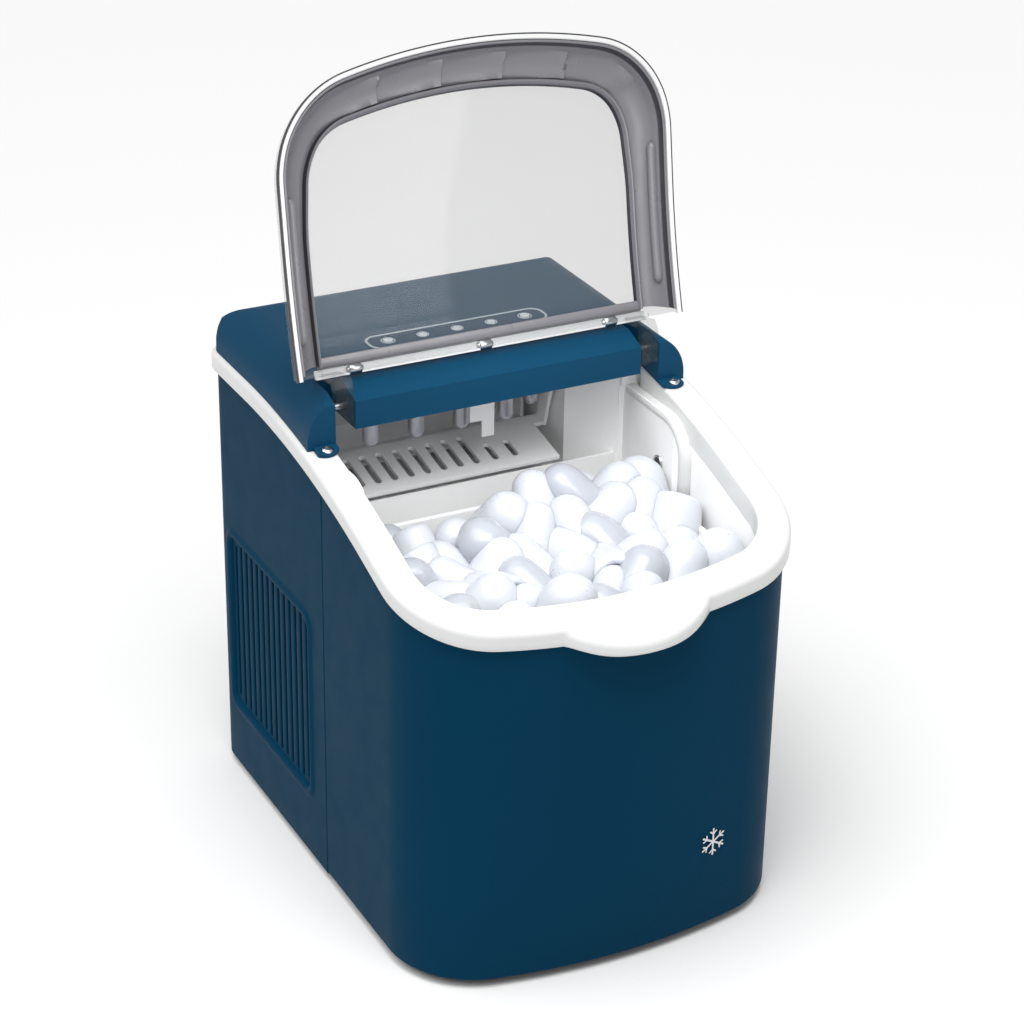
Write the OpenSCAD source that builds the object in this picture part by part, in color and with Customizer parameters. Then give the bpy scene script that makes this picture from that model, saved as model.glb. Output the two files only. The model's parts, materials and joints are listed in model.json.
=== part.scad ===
// Countertop bullet ice maker with an open see-through lid.
// +Z is up, the front faces -Y, and the origin is on the surface it stands on.
// The lid is designed shut, then turned about its hinge into the open rest position.

/* [Body] */
// Width of the blue body across its flat sides
body_w = 241; // [239:0.5:243]
// Front face of the body at its middle
front_y = -150; // [-151:0.5:-149]
// Rear face of the body
rear_y = 164.5; // [164:0.5:167]
// Radius of the bowed front
bow_r = 356; // [340:4:380]
// Radius of the two front corners
corner_r = 53; // [50:0.5:55]
// Radius of the two rear corners
rear_r = 16; // [12:1:20]
// Thickness of the plastic shells
wall = 2.4; // [2:0.1:3]
// Height of the shell's lower edge above the surface
foot_h = 4; // [4:0.5:5]

/* [Rim] */
// Height of the white rim band
rim_h = 10.5; // [10:0.5:12]
// How far the rim stands out from the body
rim_out = 3.5; // [3:0.5:4]
// Width of the opening's frame, measured in from the body side
rim_in = 15.5; // [15:0.5:16]
// Slope of the rim towards the front, in degrees
rim_slope = 18.5; // [18:0.25:19]

/* [Lid] */
// Angle that the lid opens from shut to rest
lid_open = 117.2; // [114:0.1:118]
// Height of the lid's dome above the rim
lid_h = 22; // [20:0.5:23]
// Radius of the lid's rounded edge
lid_r = 17; // [15:0.5:18]
// Thickness of the clear lid skin
lid_t = 2.2; // [1.8:0.1:2.6]

/* [Cover] */
// Height of the flat top cover
top_z = 307; // [306:0.5:308]
// Radius of the cover's long side edges
cover_r = 27; // [24:1:32]

/* [Vents] */
// Number of slots in each side vent
vent_slots = 14; // [12:1:15]
// Width of a vent slot
vent_slot_w = 3.6; // [3:0.2:4]

/* [Ice] */
// Diameter of an ice bullet
ice_d = 22.6; // [19:0.2:23]
// Height of an ice bullet
ice_h = 33; // [29:1:33]

/* [Hidden] */

$fn = 48;
blue = "#1d4a68";
white = "#f4f5f4";
metal = "#b9bcc2";
dark = "#2b2d30";
clear_grey = "#9aa3a6";

half_w = body_w / 2;
bow_cy = front_y + bow_r;
corner_x = half_w - corner_r;
corner_y = bow_cy - sqrt(pow(bow_r - corner_r, 2) - pow(corner_x, 2));
bow_half = asin(corner_x / (bow_r - corner_r));
seam_y = -2.5;
bow_steps = 8;
corner_steps = 12;

// Lower edge of the rim: flat at the back, an arc, then a straight slope to the front.
rim_flat_z = 273.1;
rim_arc_y = 102.6;
rim_arc_r = 524;
rim_tan_y = rim_arc_y - rim_arc_r * sin(rim_slope);
rim_tan_z = rim_flat_z - rim_arc_r * (1 - cos(rim_slope));
rim_top_t = 2.6;

function rim_arc_z(y) = rim_flat_z - rim_arc_r + sqrt(pow(rim_arc_r, 2) - pow(rim_arc_y - y, 2));
function rim_z(y) = y >= rim_arc_y ? rim_flat_z
  : y >= rim_tan_y ? rim_arc_z(y)
  : rim_tan_z - (rim_tan_y - y) * tan(rim_slope);

// Right half of the body's plan, from the middle of the front round to the rear.
function bow_pts(i) = [for (k = [1 : bow_steps])
  [0, bow_cy] + (bow_r - i) * [sin(bow_half * k / bow_steps), -cos(bow_half * k / bow_steps)]];
function corner_pts(i) = [for (k = [1 : corner_steps])
  let (a = bow_half + (90 - bow_half) * k / corner_steps)
  [corner_x, corner_y] + (corner_r - i) * [sin(a), -cos(a)]];
function rear_pts(i) = let (r = max(rear_r - i, 3))
  [for (a = [0 : 15 : 90]) [half_w - i - r, rear_y - i - r] + r * [cos(a), sin(a)]];
function mirrored(p) = [for (k = [len(p) - 1 : -1 : 0]) [-p[k].x, p[k].y]];
function half_plan(i) = concat(bow_pts(i), corner_pts(i), rear_pts(i));

module body_plan(i) {
  polygon(concat(half_plan(i), mirrored(half_plan(i))));
}

// Everything below the rim's lower edge moved up by dz.
module under_rim(dz) {
  side = concat([for (y = [-180 : 29 : rim_tan_y]) y], [for (k = [0 : 18])
    rim_tan_y + (rim_arc_y - rim_tan_y) * k / 18], [190]);
  rotate([90, 0, 90])
    translate([0, 0, -140])
      linear_extrude(280)
        polygon(concat([for (y = side) [y, rim_z(y) + dz]], [[190, -10], [-180, -10]]));
}

module slab(lo, hi) {
  translate(lo) cube(hi - lo);
}

module rounded_slab(lo, hi, r) {
  size = hi - lo;
  translate([lo.x + r, lo.y + r, lo.z])
    linear_extrude(size.z)
      union() {
        translate([-r, 0]) square([size.x, size.y - 2 * r]);
        translate([0, -r]) square([size.x - 2 * r, size.y]);
        for (x = [0, size.x - 2 * r])
          for (y = [0, size.y - 2 * r])
            translate([x, y]) circle(r);
      }
}

// A round bar along X.
module x_bar(y, z, r, x0, x1) {
  translate([x0, y, z]) rotate([0, 90, 0]) cylinder(r = r, h = x1 - x0);
}

// A round bar between two points.
module rod(a, b, r) {
  d = b - a;
  translate(a)
    rotate([0, acos(d.z / norm(d)), atan2(d.y, d.x)])
      cylinder(r = r, h = norm(d), $fn = 24);
}

// ---------------------------------------------------------------- casing

module ring_wall(i, t, z0, dz) {
  intersection() {
    difference() {
      translate([0, 0, z0]) linear_extrude(300) body_plan(i);
      translate([0, 0, z0 - 1]) linear_extrude(302) body_plan(i + t);
    }
    under_rim(dz);
  }
}

pan_z = 5.6;
feet_x = 88;
feet_y = [-92, 140];
foot_r = 11;

module base_pan() {
  color(dark)
    difference() {
      union() {
        translate([0, 0, pan_z]) linear_extrude(3) body_plan(wall + 0.4);
        for (x = [-1, 1]) slab([x * 60 - 2, 50, pan_z], [x * 60 + 2, 150, pan_z + 9]);
      }
      for (k = [0 : 9])
        slab([-40 + k * 9, 120, pan_z - 1], [-36 + k * 9, 150, pan_z + 4]);
    }
}

module rubber_feet() {
  color("#202224")
    for (x = [-feet_x, feet_x])
      for (y = feet_y)
        translate([x, y, 0]) {
          cylinder(r1 = foot_r - 1, r2 = foot_r, h = 1.2);
          translate([0, 0, 1.2]) cylinder(r = foot_r, h = pan_z - 1.4);
        }
}

// Side vent: a recessed field of upright slots inside a low rounded border.
vent_y = [18, 143.5];
vent_z = [47.5, 169];
vent_corner = 9;
vent_depth = 1.2;

module vent_field(x0, x1, grow) {
  rotate([90, 0, 90])
    translate([0, 0, x0])
      rounded_slab([vent_y[0] - grow, vent_z[0] - grow, 0],
        [vent_y[1] + grow, vent_z[1] + grow, x1 - x0], vent_corner + grow);
}

module vent_cuts() {
  pitch = (vent_y[1] - vent_y[0]) / (vent_slots + 1);
  vent_field(half_w - vent_depth, half_w + 5, 0);
  for (k = [1 : vent_slots]) {
    y = vent_y[0] + k * pitch;
    slab([half_w - 9, y - vent_slot_w / 2, vent_z[0] + 7],
      [half_w + 1, y + vent_slot_w / 2, vent_z[1] - 7]);
  }
}

module vent_ties() {
  for (k = [1 : 3]) {
    z = vent_z[0] + (vent_z[1] - vent_z[0]) * k / 4;
    slab([half_w - wall - 1.4, vent_y[0] + 2, z - 1.2],
      [half_w - wall + 0.2, vent_y[1] - 2, z + 1.2]);
  }
}

gland_x = -70;
gland_z = 40;

module rear_housing() {
  color(blue) {
    difference() {
      union() {
        intersection() {
          ring_wall(0, wall, foot_h, 6.5);
          slab([-130, seam_y + 0.2, 0], [130, 190, 300]);
        }
        for (s = [0, 1]) mirror([s, 0, 0]) vent_field(half_w - 0.2, half_w + 0.8, 3);
      }
      for (s = [0, 1]) mirror([s, 0, 0]) vent_cuts();
      for (k = [0 : 11])
        slab([-52 + k * 9, rear_y - 4, 70], [-47.5 + k * 9, rear_y + 1, 150]);
      translate([gland_x, rear_y - 5, gland_z]) rotate([-90, 0, 0]) cylinder(r = 6.2, h = 8);
    }
    for (s = [0, 1]) mirror([s, 0, 0]) vent_ties();
  }
}

module front_shell() {
  color(blue)
    difference() {
      intersection() {
        ring_wall(0, wall, foot_h + 1.3, 6.5);
        slab([-130, -190, 0], [130, seam_y - 0.2, 300]);
      }
      drain_bore(6.6);
    }
}

// ---------------------------------------------------------------- rim

opening_y = 46.5;
lip_half = 45;
lip_front = -rear_y - rim_out;
lip_z = [211.5, 228];

module lip_plan(shrink) {
  chord_y = front_y - rim_out + 2.8;
  sag = chord_y - lip_front;
  lip_r = (lip_half * lip_half + sag * sag) / (2 * sag);
  difference() {
    intersection() {
      translate([0, lip_front + lip_r]) circle(r = lip_r - shrink, $fn = 96);
      translate([-60, lip_front - 1]) square([120, sag + 6]);
    }
    body_plan(-rim_out + 0.6);
  }
}

scoop_y = -142.4;
scoop_z = 229.4;
scoop_tilt = 24.6;
scoop_r = 122;

// Finger scoop: a sloped cut with a round back edge.
module scoop_cut() {
  intersection() {
    translate([0, scoop_y - scoop_r, 200]) cylinder(r = scoop_r, h = 50, $fn = 144);
    translate([0, scoop_y, scoop_z])
      rotate([scoop_tilt, 0, 0]) slab([-60, -60, 0], [60, 2, 30]);
  }
}

module rim_collar() {
  color(white)
    difference() {
      union() {
        intersection() {
          translate([0, 0, 100]) linear_extrude(200) body_plan(-rim_out);
          under_rim(rim_h);
        }
        translate([0, 0, lip_z[0]]) linear_extrude(lip_z[1] - lip_z[0]) lip_plan(0);
      }
      translate([0, 0, 90]) linear_extrude(220) body_hole();
      difference() {
        intersection() {
          translate([0, 0, 80]) linear_extrude(230) body_plan(-rim_out + 2.9);
          under_rim(rim_h - rim_top_t);
        }
        difference() {
          translate([0, 0, 70]) linear_extrude(250) skirt_plan();
          under_rim(-6);
        }
      }
      difference() {
        under_rim(0);
        translate([0, 0, 60]) linear_extrude(260) body_plan(0);
        translate([0, 0, 60]) linear_extrude(260) lip_plan(-1);
      }
      translate([0, 0, lip_z[0] - 1]) linear_extrude(5) lip_plan(2.6);
      scoop_cut();
    }
}

// Plan of the rim's inner skirt, over the bin only.
module skirt_plan() {
  intersection() {
    body_plan(rim_in - 2.2);
    translate([-130, -180]) square([260, opening_y + 180]);
  }
}

// The opening over the bin, and the wider one under the top cover.
module body_hole() {
  intersection() {
    body_plan(rim_in);
    translate([-130, -180]) square([260, opening_y + 180]);
  }
  intersection() {
    body_plan(6);
    translate([-130, opening_y - 1]) square([260, 200]);
  }
}

// ---------------------------------------------------------------- top cover

cover_y = 14;
slot_x = [91.6, 103.8];
slot_back_y = 41;
beam_z = 284.5;
crease_z = 301.5;
bevel_y = 30;
panel_y = 72.5;
panel_half = 58;
dot_pitch = 22.3;
dot_r = 2.6;
button_r = 2.9;
button_x = 2 * dot_pitch;
hinge_y = 28.5;
hinge_z = 293.7;
pin_r = 2;
rear_round = 14;

// Section across the cover: flat top with a large round along each long side.
module cover_section(g) {
  w = half_w - g + 0.6;
  r = cover_r - g;
  rotate([90, 0, 0])
    translate([0, 0, -200])
      linear_extrude(400)
        union() {
          translate([-w, 200]) square([2 * w, top_z - g - r - 200]);
          translate([-w + r, 200]) square([2 * (w - r), top_z - g - 200]);
          for (s = [-1, 1]) translate([s * (w - r), top_z - g - r]) circle(r = r, $fn = 96);
        }
}

// Side view of the cover: round at the rear, a bevel behind the front beam.
module cover_side(g) {
  back = rear_y + 0.6 - g;
  r = rear_round - g / 2;
  top = top_z - g;
  rotate([90, 0, 90])
    translate([0, 0, -140])
      linear_extrude(280)
        union() {
          translate([cover_y + g, 200]) square([back - cover_y - g, top - r - 200]);
          translate([bevel_y, 200]) square([back - r - bevel_y, top - 200]);
          translate([back - r, top - r]) circle(r = r);
          polygon([[cover_y + g, 240], [cover_y + g, crease_z - g], [bevel_y, top],
            [bevel_y + 1, top], [bevel_y + 1, 240]]);
        }
}

module cover_solid(g) {
  intersection() {
    cover_section(g);
    cover_side(g);
    translate([0, 0, 200]) linear_extrude(150) body_plan(g - 0.6);
  }
}

module cover_plates() {
  for (s = [0, 1])
    mirror([s, 0, 0]) {
      slab([slot_x[0] - 2.4, cover_y, beam_z], [slot_x[0], 46, 320]);
      slab([slot_x[1], cover_y, 262], [slot_x[1] + 2.4, 46, 320]);
      slab([slot_x[0] - 2.4, slot_back_y, beam_z], [slot_x[1] + 2.4, slot_back_y + 2.4, 320]);
    }
  slab([-slot_x[0], cover_y, beam_z], [slot_x[0], 46, beam_z + 2.4]);
}

screw_x = 111.5;
screw_y = 9;
tab_tilt = 10;

module cover_tab() {
  translate([screw_x, cover_y, rim_z(cover_y) + rim_h + 0.25])
    rotate([tab_tilt, 0, 0])
      difference() {
        union() {
          cylinder(r = 9, h = 2);
          translate([-9, -0.5, 0]) cube([18, 4, 2]);
        }
        translate([0, screw_y - cover_y, -1]) cylinder(r = 1.7, h = 4);
        translate([-12, 2.5, -1]) cube([24, 20, 5]);
        translate([half_w - 3 - screw_x, -12, -1]) cube([20, 30, 5]);
      }
}

module top_cover() {
  color(blue)
    difference() {
      union() {
        difference() {
          cover_solid(0);
          cover_solid(2.6);
          under_rim(rim_h + 0.2);
        }
        intersection() {
          cover_plates();
          cover_solid(0);
          difference() {
            translate([0, 0, 200]) linear_extrude(150) square([250, 320], center = true);
            under_rim(rim_h + 0.2);
          }
        }
        for (s = [0, 1]) mirror([s, 0, 0]) cover_tab();
      }
      for (s = [0, 1])
        mirror([s, 0, 0]) {
          slab([slot_x[0], -20, 240], [slot_x[1], slot_back_y, 330]);
          x_bar(hinge_y, hinge_z, pin_r + 0.02, 85, 110);
        }
      slab([-slot_x[0], -20, 240], [slot_x[0], 60, beam_z]);
      for (s = [-1, 1]) translate([s * button_x, panel_y, 290]) cylinder(r = button_r + 0.3, h = 30);
      for (k = [-1 : 1]) translate([k * dot_pitch, panel_y, 290]) cylinder(r = dot_r + 0.1, h = 30);
    }
}

module control_overlay() {
  color("#b9c3c9")
    difference() {
      rounded_slab([-panel_half, panel_y - 10, top_z + 0.05],
        [panel_half, panel_y + 10, top_z + 0.55], 8);
      for (s = [-1, 1])
        translate([s * button_x, panel_y, top_z - 1]) cylinder(r = button_r + 0.3, h = 3);
      for (k = [-1 : 1])
        translate([k * dot_pitch, panel_y, top_z - 1]) cylinder(r = dot_r + 0.1, h = 3);
    }
}

module indicator_lamps() {
  color("#d7dde0")
    for (k = [-1 : 1])
      translate([k * dot_pitch, panel_y, top_z - 3]) cylinder(r = dot_r, h = 3.7);
}

button_top = top_z + 1;

module button(x) {
  translate([x, panel_y, 0]) {
    translate([0, 0, top_z - 3.2]) cylinder(r = button_r, h = button_top - top_z + 3.2);
    translate([0, 0, top_z - 4]) cylinder(r = button_r + 1.4, h = 0.9);
  }
}

module power_button() { color("#d7dde0") button(button_x); }
module select_button() { color("#d7dde0") button(-button_x); }

board_z = 297;

module control_board() {
  color("#2f6b45") {
    slab([-64, panel_y - 13, board_z], [64, panel_y + 13, board_z + 1.6]);
    for (s = [-1, 1])
      slab([s * button_x - 3, panel_y - 3, board_z + 1.6],
        [s * button_x + 3, panel_y + 3, top_z - 5.2]);
    for (k = [-1 : 1])
      translate([k * dot_pitch, panel_y, board_z + 1.6]) cylinder(r = 1.5, h = 4.5);
  }
}

module cover_screws() {
  color(metal)
    for (s = [0, 1])
      mirror([s, 0, 0])
        translate([screw_x, cover_y, rim_z(cover_y) + rim_h + 0.25])
          rotate([tab_tilt, 0, 0])
            translate([0, screw_y - cover_y, 2.05])
              difference() {
                union() {
                  cylinder(r = 3.4, h = 1.2);
                  translate([0, 0, 1.2]) cylinder(r1 = 3.4, r2 = 2.2, h = 0.7);
                  translate([0, 0, -2]) cylinder(r = 1.5, h = 2.1);
                }
                for (a = [0, 90])
                  rotate([0, 0, a]) translate([-1.8, -0.4, 0.9]) cube([3.6, 0.8, 2]);
              }
}

// Plain metal snowflake on the front, right of the middle.
badge_x = 58;
badge_z = 62;

module front_badge() {
  a = asin(badge_x / bow_r);
  color(metal)
    translate([0, bow_cy, badge_z])
      rotate([0, 0, a])
        translate([0, -bow_r - 0.1, 0])
          rotate([90, 0, 0])
            linear_extrude(0.8)
              for (k = [0 : 5])
                rotate(k * 60) {
                  translate([-0.6, 0]) square([1.2, 9]);
                  for (s = [-1, 1])
                    translate([0, 5.2]) rotate(s * 50) translate([-0.5, 0]) square([1, 3.2]);
                }
}

// ---------------------------------------------------------------- bin and ice works

liner_t = 2.2;
bin_z = 24;
chamber_x = [-96.5, 69.5];
chamber_y = 145;
chamber_z = 203;
liner_top = 288;
weir_z = 219;
pillar_x = 99.5;
pillar_y = -21;
pillar_z = [212, 264];
tray_y = 108;
tray_z = 262;
pusher_y = 72.5;
pusher_z = 285;
axle_r = 3;
sensor_y = 2;
sensor_z = 230.5;

module chamber_plan(g) {
  offset_x0 = chamber_x[0] - g;
  offset_x1 = chamber_x[1] + g;
  polygon([[offset_x0, opening_y - 2], [96.5 + g * 1.5, opening_y - 2],
    [96.5 + g * 1.5, opening_y + g], [offset_x1, 66 + g], [offset_x1, chamber_y + g],
    [offset_x0, chamber_y + g]]);
}

module bin_solid(i, z0, y1) {
  intersection() {
    translate([0, 0, z0]) linear_extrude(260) body_plan(i);
    under_rim(-6.3);
    slab([-130, -190, 0], [130, y1, 300]);
  }
}

module pillar(x_out) {
  intersection() {
    translate([0, 0, pillar_z[0]])
      linear_extrude(pillar_z[1] - pillar_z[0])
        polygon([[x_out, pillar_y - 2], [pillar_x, pillar_y + 7], [pillar_x, opening_y + 1],
          [x_out, opening_y + 1]]);
    rotate([90, 0, 90])
      linear_extrude(120)
        union() {
          translate([pillar_y + 20, 200]) square([60, 64]);
          translate([pillar_y - 4, 200]) square([80, 40]);
          translate([pillar_y + 20, 240]) circle(r = 24, $fn = 64);
        }
  }
}

module bin_liner() {
  color(white)
    difference() {
      union() {
        difference() {
          union() {
            bin_solid(rim_in - liner_t, bin_z, opening_y + liner_t);
            translate([0, 0, chamber_z - liner_t])
              linear_extrude(liner_top - chamber_z + liner_t) chamber_plan(liner_t);
          }
          bin_solid(rim_in, bin_z + liner_t, opening_y);
          translate([0, 0, chamber_z]) linear_extrude(120) chamber_plan(0);
        }
        // Low wall that the ice slides over, and the shelf that carries the basket.
        slab([chamber_x[0] - 1, opening_y, chamber_z - 1], [94, opening_y + liner_t, weir_z]);
        difference() {
          bin_solid(rim_in - 1, 100, 30);
          slab([-130, -190, 90], [130, 60, basket_z[0] - 2.5]);
          slab([-130, -190, basket_z[0] - 0.3], [130, 60, 320]);
          linear_extrude(320) intersection() {
            body_plan(30);
            translate([-130, -180]) square([260, 206]);
          }
        }
        for (s = [0, 1])
          mirror([s, 0, 0]) {
            slab([96, opening_y - 0.3, 250], [112, opening_y + 1.9, liner_top]);
            pillar(104.7);
            intersection() {
              pillar(106);
              under_rim(-6.3);
            }
          }
      }
      // Cut the chamber's front corners back to the bin below the cover.
      slab([-130, opening_y - 4, 270], [130, opening_y, 300]);
      x_bar(tray_y, tray_z, axle_r + 0.06, -110, 80);
      x_bar(pusher_y, pusher_z, 2.56, -110, 80);
      for (s = [-1, 1]) x_bar(sensor_y, sensor_z, 3.1, s * 103 - 8, s * 103 + 8);
      drain_bore(4);
      for (s = [-1, 1])
        translate([evap_x + s * evap_tail, 140, evap_z]) rotate([-90, 0, 0]) cylinder(r = 3.3, h = 12);
    }
}

drain_y = -60;
drain_z = 33;

module drain_bore(r) {
  x_bar(drain_y, drain_z, r, 60, 130);
}

module ice_sensors() {
  color("#303338")
    for (s = [0, 1])
      mirror([s, 0, 0]) {
        x_bar(sensor_y, sensor_z, 3, pillar_x - 1, 109);
        x_bar(sensor_y, sensor_z, 4.6, 109, 113);
      }
}

module sensor_bracket() {
  color(white) {
    slab([-2, 50.4, 256], [14, 51.8, 284.2]);
    slab([6, 50.4, 245], [14, 51.8, 257]);
    slab([-2, 30, 282.7], [14, 51, 284.2]);
  }
}

// Ring tube with cold fingers hanging from it.
evap_x = -13.5;
evap_y = 83;
evap_z = 276;
evap_half = 55;
evap_bend = 14;
evap_r = 4.5;
evap_tail = 44;
finger_pitch = 29.5;
finger_r = 5.1;
finger_z = 244;

module evaporator_tube() {
  color("#a9b0b6")
    difference() {
      union() {
        translate([evap_x, evap_y, evap_z]) {
          for (s = [-1, 1]) {
            translate([-evap_half, s * evap_bend, 0])
              rotate([0, 90, 0]) cylinder(r = evap_r, h = 2 * evap_half);
            translate([s * evap_half, 0, 0])
              rotate([0, 0, s * 90 - 180])
                rotate_extrude(angle = 180) translate([evap_bend, 0]) circle(r = evap_r);
          }
          for (s = [-1, 1])
            translate([s * evap_tail, evap_bend, 0]) rotate([-90, 0, 0]) cylinder(r = 3, h = 56.3);
        }
      }
      finger_solids(finger_r - 0.4);
    }
}

function finger_points() = concat(
  [for (k = [-1.5 : 1 : 1.5]) [evap_x + k * finger_pitch, evap_y - evap_bend]],
  [for (k = [-1 : 1]) [evap_x + k * finger_pitch, evap_y + evap_bend]],
  [for (s = [-1, 1]) [evap_x + s * (evap_half + evap_bend), evap_y]]);

module finger_solids(r) {
  for (p = finger_points())
    translate([p.x, p.y, 0]) {
      translate([0, 0, finger_z + r]) cylinder(r = r, h = evap_z - 2 - finger_z - r);
      translate([0, 0, finger_z + r]) sphere(r = r);
    }
}

module freezing_fingers() {
  color("#c9ccd2")
    finger_solids(finger_r);
}

// Water tray, drawn level and turned down into its dumping position.
tray_w = 77;
tray_front = 50.5;
tray_deep = 26;
tray_t = 2;

module water_tray() {
  color(white)
    translate([evap_x, tray_y, tray_z])
      rotate([90, 0, 0])
        difference() {
          union() {
            slab([-tray_w, -tray_front, -tray_deep], [tray_w, 0, 0]);
            for (s = [-1, 1]) x_bar(-1.5, -3, 6, s * (tray_w - 1.2) - 1.2, s * (tray_w - 1.2) + 1.2);
            x_bar(0, 0, 6, -tray_w, -tray_w + tray_t);
            x_bar(0, 0, 6, tray_w - tray_t, tray_w);
            x_bar(0, 0, axle_r, -tray_w - 7.5, -tray_w + 1);
          }
          slab([-tray_w + tray_t, -tray_front + tray_t, -tray_deep + tray_t],
            [tray_w - tray_t, -tray_t - 1, 10]);
          x_bar(0, 0, axle_r + 0.01, tray_w - 5, tray_w + 5);
        }
}

module tray_drive_shaft() {
  x0 = evap_x + tray_w - tray_t;
  color(metal)
    x_bar(tray_y, tray_z, axle_r, x0, x0 + 26);
}

// Slotted pusher that carries the fallen ice over the weir into the basket.
pusher_front = [51, 222];
pusher_deep = 44;
pusher_tilt = 11.6;
pusher_t = 2.5;
pusher_x = [-92, 59];
slot_pitch = 10.75;
slot_r = 2.2;
arm_x = 78.6;

module pusher_slot(x, from, length) {
  translate([x, from, -5])
    linear_extrude(10)
      union() {
        translate([-slot_r, slot_r]) square([2 * slot_r, length - 2 * slot_r]);
        translate([0, slot_r]) circle(r = slot_r);
        translate([0, length - slot_r]) circle(r = slot_r);
      }
}

module ice_pusher() {
  color(white) {
    difference() {
      union() {
        translate([0, pusher_front[0], pusher_front[1]])
          rotate([pusher_tilt, 0, 0]) {
            slab([pusher_x[0], 0, -pusher_t], [pusher_x[1], pusher_deep, 0]);
            slab([evap_x - arm_x - 2.4, pusher_deep - 9, -pusher_t],
              [evap_x + arm_x + 2.4, pusher_deep, 0]);
          }
        for (s = [-1, 1])
          translate([evap_x + s * (arm_x + 1.2) - 1.2, 0, 0])
            rotate([90, 0, 90])
              linear_extrude(2.4)
                union() {
                  translate([pusher_y, pusher_z]) circle(r = 5.5);
                  polygon([[pusher_y - 5, pusher_z], [pusher_y + 5, pusher_z], [94, 231],
                    [93.6, 228.6], [84.8, 226.8], [84.4, 229.2]]);
                }
        for (s = [0, 1])
          x_bar(pusher_y, pusher_z, 2.5, s == 0 ? evap_x - arm_x - 6.4 : evap_x + arm_x + 1,
            s == 0 ? evap_x - arm_x - 1 : evap_x + arm_x + 6.4);
      }
      translate([0, pusher_front[0], pusher_front[1]])
        rotate([pusher_tilt, 0, 0]) {
          for (k = [-2 : 6]) pusher_slot(-56.5 + k * slot_pitch, 8.5, 28);
          for (x = [20.8, 34]) pusher_slot(x, 8.5, 16.5);
        }
    }
  }
}

module tray_gearmotor() {
  color(metal)
    difference() {
      union() {
        x_bar(tray_y, tray_z - 12, 24, chamber_x[1] + liner_t + 2, chamber_x[1] + liner_t + 22);
        x_bar(tray_y, tray_z, 6, chamber_x[1] + liner_t + 0.4, chamber_x[1] + liner_t + 3);
      }
      x_bar(tray_y, tray_z, axle_r + 0.06, chamber_x[1], chamber_x[1] + liner_t + 19);
    }
}

// ---------------------------------------------------------------- basket and ice

basket_in = 23.5;
basket_z = [158.1, 214];
basket_y = 25;
basket_t = 2;

module basket_plan(i) {
  intersection() {
    body_plan(i);
    translate([-130, -180]) square([260, basket_y + 180 - (i - basket_in)]);
  }
}

module ice_basket() {
  color(white)
    difference() {
      union() {
        translate([0, 0, basket_z[0]]) linear_extrude(basket_z[1] - basket_z[0])
          basket_plan(basket_in + 1.5);
        translate([0, 0, basket_z[1] - 2.5]) linear_extrude(2.5) basket_plan(basket_in);
      }
      translate([0, 0, basket_z[0] + basket_t]) linear_extrude(200)
        basket_plan(basket_in + 1.5 + basket_t);
      for (x = [-72 : 18 : 72])
        for (y = [-96 : 18 : 12])
          translate([x, y, basket_z[0] - 1]) cylinder(r = 3, h = 5);
    }
}

ice_pitch = [24.6, 23.4];
ice_rear = 9.8;
ice_gap = 0.3;

module bullet() {
  r = ice_d / 2;
  cylinder(r = r, h = ice_h - r);
  translate([0, 0, ice_h - r]) sphere(r = r);
}

// Standing bullets in two layers, then a few that lie on top towards the right.
module ice_bullets() {
  floor_z = basket_z[0] + basket_t + ice_gap;
  color("#eef3f8") {
    for (level = [0, 1])
      for (i = [0 : 6])
        for (j = [0 : abs(i - 3) == 3 ? 4 : 5])
          if (!(level == 1 && i < 3 && j < 2))
            translate([(i - 3) * ice_pitch.x, ice_rear - j * ice_pitch.y,
              floor_z + level * (ice_h + ice_gap)])
              bullet();
    for (i = [1 : 6])
      for (j = [0 : 1])
        if (i > 2 || j == 1)
          translate([(i - 3) * ice_pitch.x, -5.6 - ice_h - j * (ice_h + ice_gap),
            floor_z + 2 * (ice_h + ice_gap) + ice_d / 2])
            rotate([-90, 0, 0]) bullet();
  }
}

// ---------------------------------------------------------------- lid

lid_gap = 0.6;
lid_out = 2.3;
lid_front = 4.2;
lid_rear = 12.5;
lid_lean = 0.3;
lid_skirt = 4;
lid_side_y = [-75, -60, -45, -32, -20, -10, 0];
lid_angles = [15, 30, 45, 60, 75, 90];

module lid_pose() {
  translate([0, hinge_y, hinge_z])
    rotate([-lid_open, 0, 0])
      translate([0, -hinge_y, -hinge_z])
        children();
}

// Half outline of the lid: the body's plan, a little wider and longer at the front.
function lid_reach(y) = lid_front * min(max((-30 - y) / 80, 0), 1);
function lid_half(i, y_end) = [for (q = concat(bow_pts(i), corner_pts(i),
  [for (y = lid_side_y) [half_w - i, y]], [[half_w - i, y_end]])) q - [0, lid_reach(q.y)]];

module lid_plan(d) {
  p = lid_half(d - lid_out, lid_rear);
  polygon(concat(p, mirrored(p)));
}

// One ring of the shut lid: inset d and height h above the rim.
function lid_ring(d, h, g) =
  let (p = lid_half(d - lid_out, lid_rear - g - lid_lean * h))
  [for (q = concat(mirrored(p), p)) [q.x, q.y, rim_z(q.y) + rim_h + lid_gap + h]];

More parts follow.
